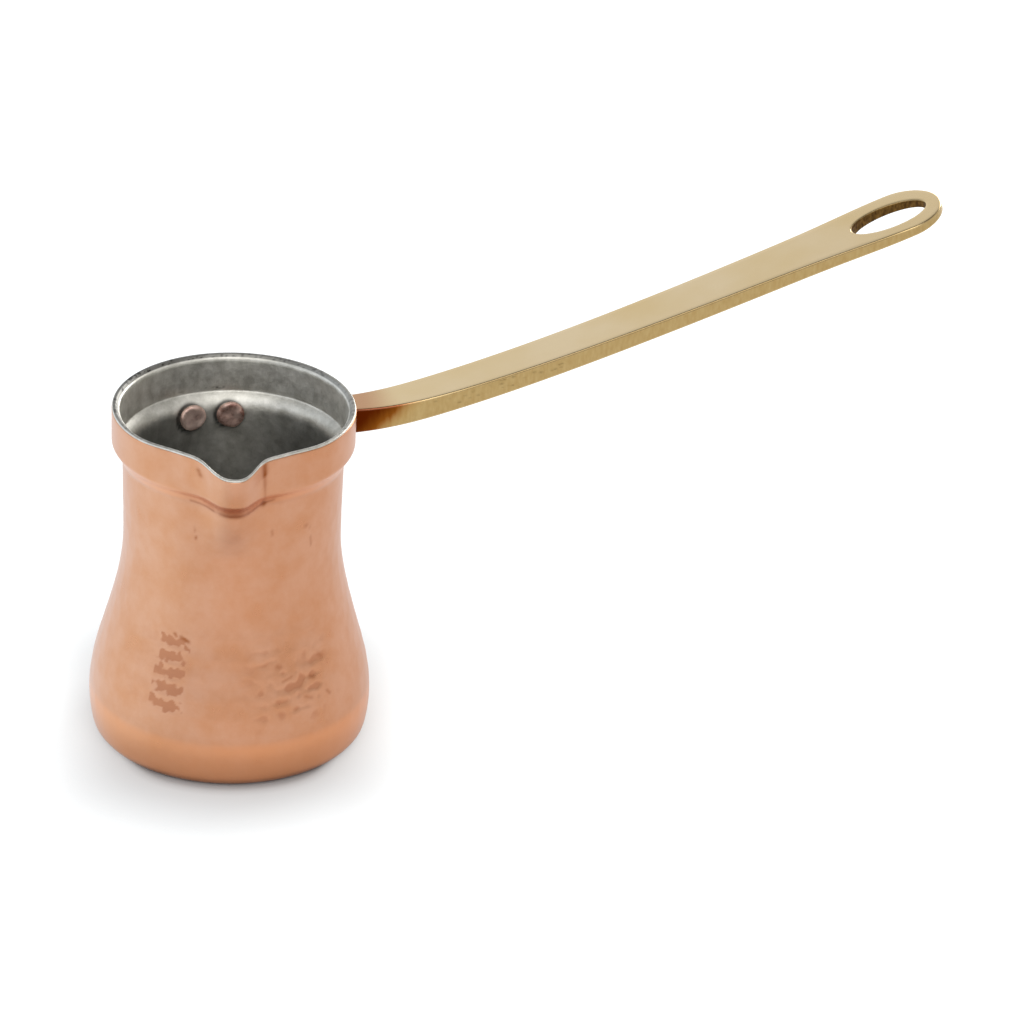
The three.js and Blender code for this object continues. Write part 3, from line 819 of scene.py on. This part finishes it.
def handle_height(distance):
    """Height along the handle: a bar that thins evenly, and by a high power at the tip, and the upright
    foot's extra height as a bell curve, times a quarter ellipse at the foot's end."""
    along = np.maximum(distance, 0.0)
    tip = TIP_THINNING * (along / BAR_LENGTH) ** TIP_THINNING_SHARPNESS
    bar = ROOT_THICKNESS - THINNING * along - tip
    foot = (FOOT_HEIGHT - ROOT_THICKNESS) * np.exp(-((along / ROOT_EXTRA_HEIGHT) ** 2))
    ended = rounded_end(distance - FOOT_END, FOOT_END_RADIUS)
    return np.maximum((bar + foot) * ended, 0.5)


def handle_plan():
    """The handle seen flat, as distance along and across: its outline, and the line that each point faces.

    That inner line runs along the middle, and then round the hanging eye."""
    quarter = np.linspace(0.0, math.pi / 2, 9)
    foot = FOOT_END + FOOT_END_RADIUS * (1.0 - np.cos(quarter))
    eye_start = EYE_CENTRE - EYE_HALF_LENGTH - EYE_EDGE
    bar = np.linspace(foot[-1], eye_start, 400)[1:]
    straight = np.linspace(eye_start, BAR_LENGTH - TIP_LENGTH, 28)[1:]
    tip = BAR_LENGTH - TIP_LENGTH + TIP_LENGTH * np.sin(np.linspace(0.0, math.pi / 2, 31)[1:])
    distance = np.concatenate([foot, bar, straight, tip])
    outline = np.stack([distance, handle_width(distance) / 2], 1)
    outline[-1, 1] = 0.0
    faced = np.stack([distance, np.zeros_like(distance)], 1)
    first_eye = len(foot) + len(bar) - 1
    ways = np.hypot(*np.diff(outline[first_eye:], axis=0).T)
    share = np.concatenate([[0.0], np.cumsum(ways)]) / ways.sum()
    turn = math.pi * (1.0 - share)
    ellipse = np.stack([EYE_HALF_LENGTH * np.cos(turn), EYE_HALF_WIDTH * np.sin(turn)], 1)
    out = ellipse / np.array([EYE_HALF_LENGTH, EYE_HALF_WIDTH]) ** 2
    out /= np.linalg.norm(out, axis=1, keepdims=True)
    faced[first_eye:] = ellipse + EYE_EDGE * out + [EYE_CENTRE, 0.0]
    return outline, faced, ellipse, out


def ring(half):
    """One side's points and their mirror images, in one closed loop."""
    mirrored = half[-2:0:-1] * [1.0, -1.0]
    return np.concatenate([half, mirrored])


def casting_pits(distance, level):
    """Depth from 0 to 1 of small seeded pits on the sides: the deepest of exp(-(distance / radius)^2)."""
    draw = np.random.default_rng(71)
    places = draw.uniform(PITS_FROM, PITS_TO, (PIT_COUNT, 2))
    radii = draw.uniform(*PIT_RADII, PIT_COUNT)
    deepest = np.zeros(np.shape(distance))
    for (along, up), radius in zip(places, radii):
        away = ((distance - along) / (1.8 * radius)) ** 2 + ((level - up) / radius) ** 2
        deepest = np.maximum(deepest, np.exp(-away))
    return deepest


def handle_body():
    """The handle's outside: sheets from the middle or the eye to the outline, rounded edges and walls.

    Returns its places seen flat, its levels, how pitted it is or darkened by the painted shade line along
    its upper edge, and how polished."""
    outline, faced, _, _ = handle_plan()
    end_start = np.array([[FOOT_END, 0.0]])
    outline = ring(np.concatenate([end_start, outline]))
    faced = ring(np.concatenate([[[FOOT_END + 0.05, 0.0]], faced])) - [0.0, EYE_OFFSET]
    faced[:, 0] = np.maximum(faced[:, 0], FOOT_END + 0.05)
    half_height = handle_height(outline[:, 0]) / 2
    near_end = np.clip(outline[:, 0], FOOT_END, BAR_LENGTH - 0.6)
    half_width = np.maximum(handle_width(near_end), 0.6) / 2
    corner = np.minimum(HANDLE_EDGE, 0.8 * np.minimum(half_width, half_height))
    tangent = np.roll(outline, -1, 0) - np.roll(outline, 1, 0)
    tangent /= np.linalg.norm(tangent, axis=1, keepdims=True)
    inward = np.stack([tangent[:, 1], -tangent[:, 0]], 1)
    inset = outline + inward * corner[:, None]

    share = np.linspace(1.0, 0.0, SHEET_ROWS + 1)[:-1, None, None]
    sheet = inset * (1 - share) + faced * share
    sheet_level = handle_height(sheet[..., 0]) / 2
    turn = np.linspace(0.0, math.pi / 2, EDGE_ROWS + 1)[:, None]
    edge = outline + inward * (corner * (1 - np.sin(turn)))[..., None]
    edge_level = half_height - corner * (1 - np.cos(turn))
    wall_level = (half_height - corner) * np.linspace(1.0, -1.0, WALL_ROWS + 1)[1:-1, None]
    wall = np.broadcast_to(outline, (WALL_ROWS - 1, *outline.shape))
    pits = casting_pits(wall[..., 0], wall_level)
    wall = wall + inward * (PIT_DEPTH * pits)[..., None]

    flat = np.concatenate([sheet, edge, wall, edge[::-1], sheet[::-1]])
    level = np.concatenate([sheet_level, edge_level, wall_level, -edge_level[::-1], -sheet_level[::-1]])
    along = outline[:, 0]
    # A painted dark line of shade along the upper rounded edge, dimming its highlight
    painted_edge_shade = smooth((along - LINE_START) / LINE_COMES) * smooth((LINE_END - along) / LINE_GOES)
    pitted_and_edge_shade = np.zeros(level.shape)
    pitted_and_edge_shade[SHEET_ROWS + 1 : SHEET_ROWS + 3] = 0.4 * painted_edge_shade
    pitted_and_edge_shade[SHEET_ROWS + 3 : SHEET_ROWS + 6] = painted_edge_shade
    first_wall = SHEET_ROWS + EDGE_ROWS + 1
    pitted_and_edge_shade[first_wall : first_wall + WALL_ROWS - 1] = pits
    polished = np.ones(level.shape)
    polished[SHEET_ROWS + 2 : -SHEET_ROWS - 2] = 0.4
    polished[first_wall - 1 : first_wall + WALL_ROWS] = 0.0
    return flat, level, pitted_and_edge_shade, polished


def eye_ring():
    """The eye's rounded edges and its wall, as a ring of its own that meets the sheets."""
    _, _, ellipse, out = handle_plan()
    loop = ring(ellipse) + [EYE_CENTRE, -EYE_OFFSET]
    outwards = ring(out)
    turn = np.linspace(0.0, math.pi / 2, 5)[:, None]
    edge = loop + outwards * (EYE_EDGE * (1 - np.sin(turn)))[..., None]
    edge_level = handle_height(edge[..., 0]) / 2 - EYE_EDGE * (1 - np.cos(turn))
    half_height = handle_height(loop[:, 0]) / 2
    wall_level = (half_height - EYE_EDGE) * np.linspace(1.0, -1.0, WALL_ROWS + 1)[1:-1, None]
    level_and_side = loop[:, 1] + wall_level
    place = np.stack([loop[:, 0] + 0 * wall_level, level_and_side, level_and_side], -1)
    uneven = waves(place, 1.6, 77)
    wall = loop + outwards * (EYE_ROUGHNESS * uneven)[..., None]
    flat = np.concatenate([edge, wall, edge[::-1]])
    level = np.concatenate([edge_level, wall_level, -edge_level[::-1]])
    # The cast skin begins on the upper rounded edge
    skin = np.zeros(level.shape)
    skin[2] = 0.7
    skin[3:-1] = 1.0
    return flat, level, skin


def brass_handle(material):
    """The cast handle: its outside and the eye's ring, joined where they meet."""
    flat, level, pitted_and_edge_shade, polished = handle_body()
    eye_flat, eye_level, skin = eye_ring()
    outer = handle_space(flat, level)
    eye = handle_space(eye_flat, eye_level)
    outer_faces = grid_faces(outer.shape[0], outer.shape[1])
    eye_faces = grid_faces(eye.shape[0], eye.shape[1], outer.shape[0] * outer.shape[1])
    distance = flat[..., 0]
    # A painted reflection of the copper pot at the root: streaked, full on the sides, weaker on top, fading
    # along the bar
    streaked = 0.5 * waves(outer * [1, 1, 0.2], 1.5, 61)
    reach = REFLECTION_REACH + 1.3 * level + streaked
    towards_foot = 1.0 - 0.45 * smooth((8.0 - distance) / 22.0)
    on_side = smooth((reach + 3.0 - distance) / REFLECTION_FADE) * towards_foot
    on_top = TOP_REFLECTION * smooth((TOP_REFLECTION_REACH - distance) / TOP_REFLECTION_FADE)
    painted_reflection_share = np.where(polished > 0.5, on_top, on_side)
    none = np.zeros(eye_level.size)
    piece = make_piece(
        "brass_handle",
        np.concatenate([outer.reshape(-1, 3), eye.reshape(-1, 3)]),
        [outer_faces[:, ::-1], eye_faces],
        slot="brass",
        node="handle",
        material=material,
        attributes={
            "polish": np.concatenate([polished.ravel(), 1.0 - skin.ravel()]),
            "cast_skin": np.concatenate([0.0 * distance.ravel(), skin.ravel()]),
            "heat_tint": np.concatenate([painted_reflection_share.ravel(), none]),
            "pit": np.concatenate([0.6 * pitted_and_edge_shade.ravel(), none]),
        },
    )
    merge(piece)


def merge(piece):
    """Joins points that lie on each other and turns the faces outwards."""
    work = bmesh.new()
    work.from_mesh(piece.data)
    bmesh.ops.remove_doubles(work, verts=work.verts, dist=0.002 * MM)
    bmesh.ops.recalc_face_normals(work, faces=work.faces)
    work.to_mesh(piece.data)
    work.free()


# Rivets
RIVET_COLUMNS = 64
OUT_OF_ROUND = 0.022
DIMPLE_DEPTH = 0.1


def rivet(side, material, seed, overlay):
    """A rivet: a flat head inside, a shank and a peened dome outside, turned about the radius of the pot."""
    tin_face = NECK_TOP_RADIUS - WALL - TIN_GAP - TIN_THICKNESS
    seat = math.sqrt(tin_face**2 - HEAD_RADIUS**2) - HEAD_SEAT_GAP
    foot_face = NECK_TOP_RADIUS + FOOT_CLEARANCE + FOOT_THICKNESS + HEAD_SEAT_GAP
    face = seat - HEAD_THICKNESS
    dome_top = foot_face + PEENED_HEIGHT
    flat_radius = HEAD_RADIUS - 3 * HEAD_EDGE
    pole = 0.02
    flat = np.stack([np.linspace(pole, flat_radius, 12), np.full(12, face)], 1)
    head = bezier([(flat_radius, face), (HEAD_RADIUS, face), (HEAD_RADIUS, seat - HEAD_EDGE)], 8)
    dome = bezier([(PEENED_RADIUS, foot_face), (PEENED_RADIUS, dome_top), (pole, dome_top)], 12)
    neck = [(HEAD_RADIUS - HEAD_EDGE / 2, seat), (SHANK_RADIUS, seat)]
    shank_end = [(SHANK_RADIUS, foot_face), (PEENED_RADIUS, foot_face)]
    profile = np.concatenate([flat, head, neck, shank_end, dome])

    turn = np.linspace(0.0, 2 * math.pi, RIVET_COLUMNS, endpoint=False)
    circle = np.stack([np.cos(turn), np.sin(turn), 0 * turn], 1)
    uneven = 1.0 + OUT_OF_ROUND * waves(circle * 3.0, 5.0, seed)
    on_head = (profile[:, 0] > SHANK_RADIUS + 0.1)[:, None]
    across = profile[:, :1] * np.where(on_head, uneven[None, :], 1.0)
    outward = profile[:, 1:] + 0.0 * turn
    local = np.stack([across * np.cos(turn), across * np.sin(turn), outward], -1)
    dimple = DIMPLE_DEPTH * waves(local * [1, 1, 0], 2.8, seed + 1)
    outward = outward + np.where(profile[:, 1:] < seat - 0.5, dimple, 0.0)
    azimuth = math.radians(RIVET_AZIMUTHS[side])
    out = np.array([math.sin(azimuth), math.cos(azimuth), 0.0])
    beside = np.array([math.cos(azimuth), -math.sin(azimuth), 0.0])
    points = (
        outward[..., None] * out
        + (across * np.cos(turn))[..., None] * beside
        + (across * np.sin(turn))[..., None] * [0.0, 0.0, 1.0]
        + [0.0, 0.0, RIVET_LEVEL]
    )
    rows = len(profile)
    this = np.arange(RIVET_COLUMNS)
    caps = [this[::-1][None, :], (rows - 1) * RIVET_COLUMNS + this[None, :]]
    piece = make_piece(
        f"rivet_{side}_worn",
        points.reshape(-1, 3),
        [grid_faces(rows, RIVET_COLUMNS), *caps],
        slot="rivet_copper",
        node=f"rivet_{side}",
        material=material,
        attributes={"rubbed": np.clip(overlay + 0.3 * waves(local * [1, 1, 0], 3.5, seed + 2), 0.0, 1.0)},
    )
    merge(piece)


copper_body(spun_copper())
tin_coat(wiped_tin())
brass_handle(cast_brass())
rivet_copper = hammered_rivet_copper()
# The left rivet's head is made light all over: partly rubbed bright, partly a painted highlight
rivet("left", rivet_copper, 31, 0.65)
rivet("right", rivet_copper, 38, 0.0)


# Floor, light and camera
def floor():
    """A plain pale floor that keeps the pot's soft shadow and is otherwise white to camera and metal.

    Its extra white glows for camera and metal and fades out towards the pot, wider in front, painting most
    of the contact shadow; to metal it is a little stronger and cooler on the left, a painted pool of light."""
    half = 1.5
    mesh = bpy.data.meshes.new("floor")
    corners = [(-half, -half, 0), (half, -half, 0), (half, half, 0), (-half, half, 0)]
    mesh.from_pydata(corners, [], [(0, 1, 2, 3)])
    material, add = new_material("pale_floor")
    matte = add("BsdfDiffuse", {"Color": grey(0.4)})
    place = add("TexCoord").outputs["Object"]
    reach = add("VectorMath", {"operation": "LENGTH"}, {0: place}).outputs["Value"]
    width_to_length = 0.741
    radial = add("Math", {"operation": "MULTIPLY", 1: width_to_length}, {0: reach})
    along_x = add("SeparateXYZ", links={0: place}).outputs["X"]
    beside = add("Math", {"operation": "ABSOLUTE"}, {0: along_x})
    wide = add("Math", {"operation": "SMOOTH_MAX", 2: 14 * MM}, {0: radial, 1: beside})
    share = add("Math", {"operation": "DIVIDE", 1: 100 * MM}, {0: wide})
    # Painted shadow: the glow's white by distance from the pot's axis, in hundreds of millimetres, wider in
    # front
    positions = (0.268, 0.275, 0.282, 0.296, 0.326, 0.37, 0.445, 0.52, 1.0)
    whites = (0.02, 0.13, 0.22, 0.32, 0.38, 0.48, 0.64, 0.69, 0.74)
    stops = [(position, grey(white)) for position, white in zip(positions, whites)]
    painted_shadow_fade = add("ValToRGB", {"stops": stops}, {"Fac": share})
    heading = add("VectorMath", {"operation": "NORMALIZE"}, {0: place})
    sideways = add("SeparateXYZ", links={0: heading}).outputs["X"]
    half_turn = add("Math", {"operation": "MULTIPLY_ADD", 1: 0.5, 2: 0.5}, {0: sideways})
    cool = [(0.02, [0.78, 0.92, 1.0, 1.0]), (0.22, [0.69, 0.75, 0.79, 1.0])]
    tint = add("ValToRGB", {"stops": [*cool, (0.5, grey(0.66)), (0.95, grey(0.58))]}, {"Fac": half_turn})
    path = add("LightPath").outputs
    seen = add("Math", {"operation": "MAXIMUM"}, {0: path["Is Camera Ray"], 1: path["Is Glossy Ray"]})
    shown = add("Math", {"operation": "MULTIPLY"}, {0: painted_shadow_fade, 1: seen})
    raised = add("Math", {"operation": "MULTIPLY", 1: 1.4}, {0: shown})
    seen_tint = add(
        "Mix",
        {"data_type": "RGBA", 7: [0.72, 0.742, 0.745, 1.0]},
        {0: path["Is Camera Ray"], 6: tint},
    )
    glow = add("Emission", links={"Color": seen_tint, "Strength": raised})
    both = add("AddShader", links={0: matte, 1: glow})
    add("OutputMaterial", links={"Surface": both})
    mesh.materials.append(material)
    plane = bpy.data.objects.new("floor", mesh)
    bpy.context.scene.collection.objects.link(plane)


def area_light(name, place, target, size, power):
    """A square softbox at a place, aimed at a target, in metres and watts."""
    light = bpy.data.lights.new(name, "AREA")
    light.shape = "SQUARE"
    light.size = size
    light.energy = power
    lamp = bpy.data.objects.new(name, light)
    lamp.location = place
    aim = Vector(target) - Vector(place)
    lamp.rotation_euler = aim.to_track_quat("-Z", "Y").to_euler()
    bpy.context.scene.collection.objects.link(lamp)


def sky():
    """A pale room, white at eye level, darker overhead, and a little brighter and cooler on the left."""
    world = bpy.data.worlds.new("studio")
    bpy.context.scene.world = world
    world.use_nodes = True
    world.node_tree.nodes.clear()
    add = partial(add_node, world.node_tree)
    where = add("TexCoord").outputs["Generated"]
    parts = add("SeparateXYZ", links={0: where}).outputs
    stops = [(0.0, grey(1.0)), (0.52, grey(0.92)), (0.75, grey(0.45)), (1.0, grey(0.12))]
    overhead = add("ValToRGB", {"stops": stops}, {"Fac": parts["Z"]})
    half_turn = add("Math", {"operation": "MULTIPLY_ADD", 1: 0.5, 2: 0.5}, {0: parts["X"]})
    cool = [(0.02, [0.76, 0.85, 0.97, 1.0]), (0.25, [0.71, 0.74, 0.79, 1.0])]
    stops = [*cool, (0.6, grey(0.70)), (0.95, grey(0.62))]
    sideways = add("ValToRGB", {"stops": stops}, {"Fac": half_turn})
    tone = add("Mix", {"data_type": "RGBA", "blend_type": "MULTIPLY", 0: 1.0}, {6: overhead, 7: sideways})
    room = add("Background", {"Strength": 1.32}, {"Color": tone})
    white = add("Background", {"Color": grey(1.0), "Strength": 1.0})
    path = add("LightPath").outputs
    mixed = add("MixShader", links={0: path["Is Camera Ray"], 1: room, 2: white})
    add("OutputWorld", links={"Surface": mixed})


def camera():
    """A camera fitted to the photograph: height, turn, tilt and a slight roll."""
    elevation = math.radians(28.02)
    roll = math.radians(3.17)
    turn = math.radians(5.7)
    place = Vector((-15.4, -877.1, 530.7)) * MM
    flat = math.cos(elevation)
    forward = Vector((math.sin(turn) * flat, math.cos(turn) * flat, -math.sin(elevation)))
    level = Vector((math.cos(turn), -math.sin(turn), 0.0))
    upright = level.cross(forward)
    right = math.cos(roll) * level + math.sin(roll) * upright
    up = -math.sin(roll) * level + math.cos(roll) * upright
    data = bpy.data.cameras.new("camera")
    data.sensor_width = 36.0
    data.lens = 135.6
    data.clip_start = 0.01
    view = bpy.data.objects.new("camera", data)
    view.matrix_world = Matrix([*zip(right, up, -forward, place), (0, 0, 0, 1)])
    bpy.context.scene.collection.objects.link(view)
    bpy.context.scene.camera = view


floor()
sky()
area_light("left_softbox", (-0.95, -0.15, 0.45), (0, 0, 0.05), 0.6, 0.8)
area_light("back_softbox", (0.6, 0.8, 0.4), (0, 0, 0.08), 0.6, 6.5)
area_light("front_softbox", (0.0, -0.64, 1.02), (0, 0, 0.05), 1.1, 7.0)
camera()
bpy.context.scene.view_settings.view_transform = "Standard"
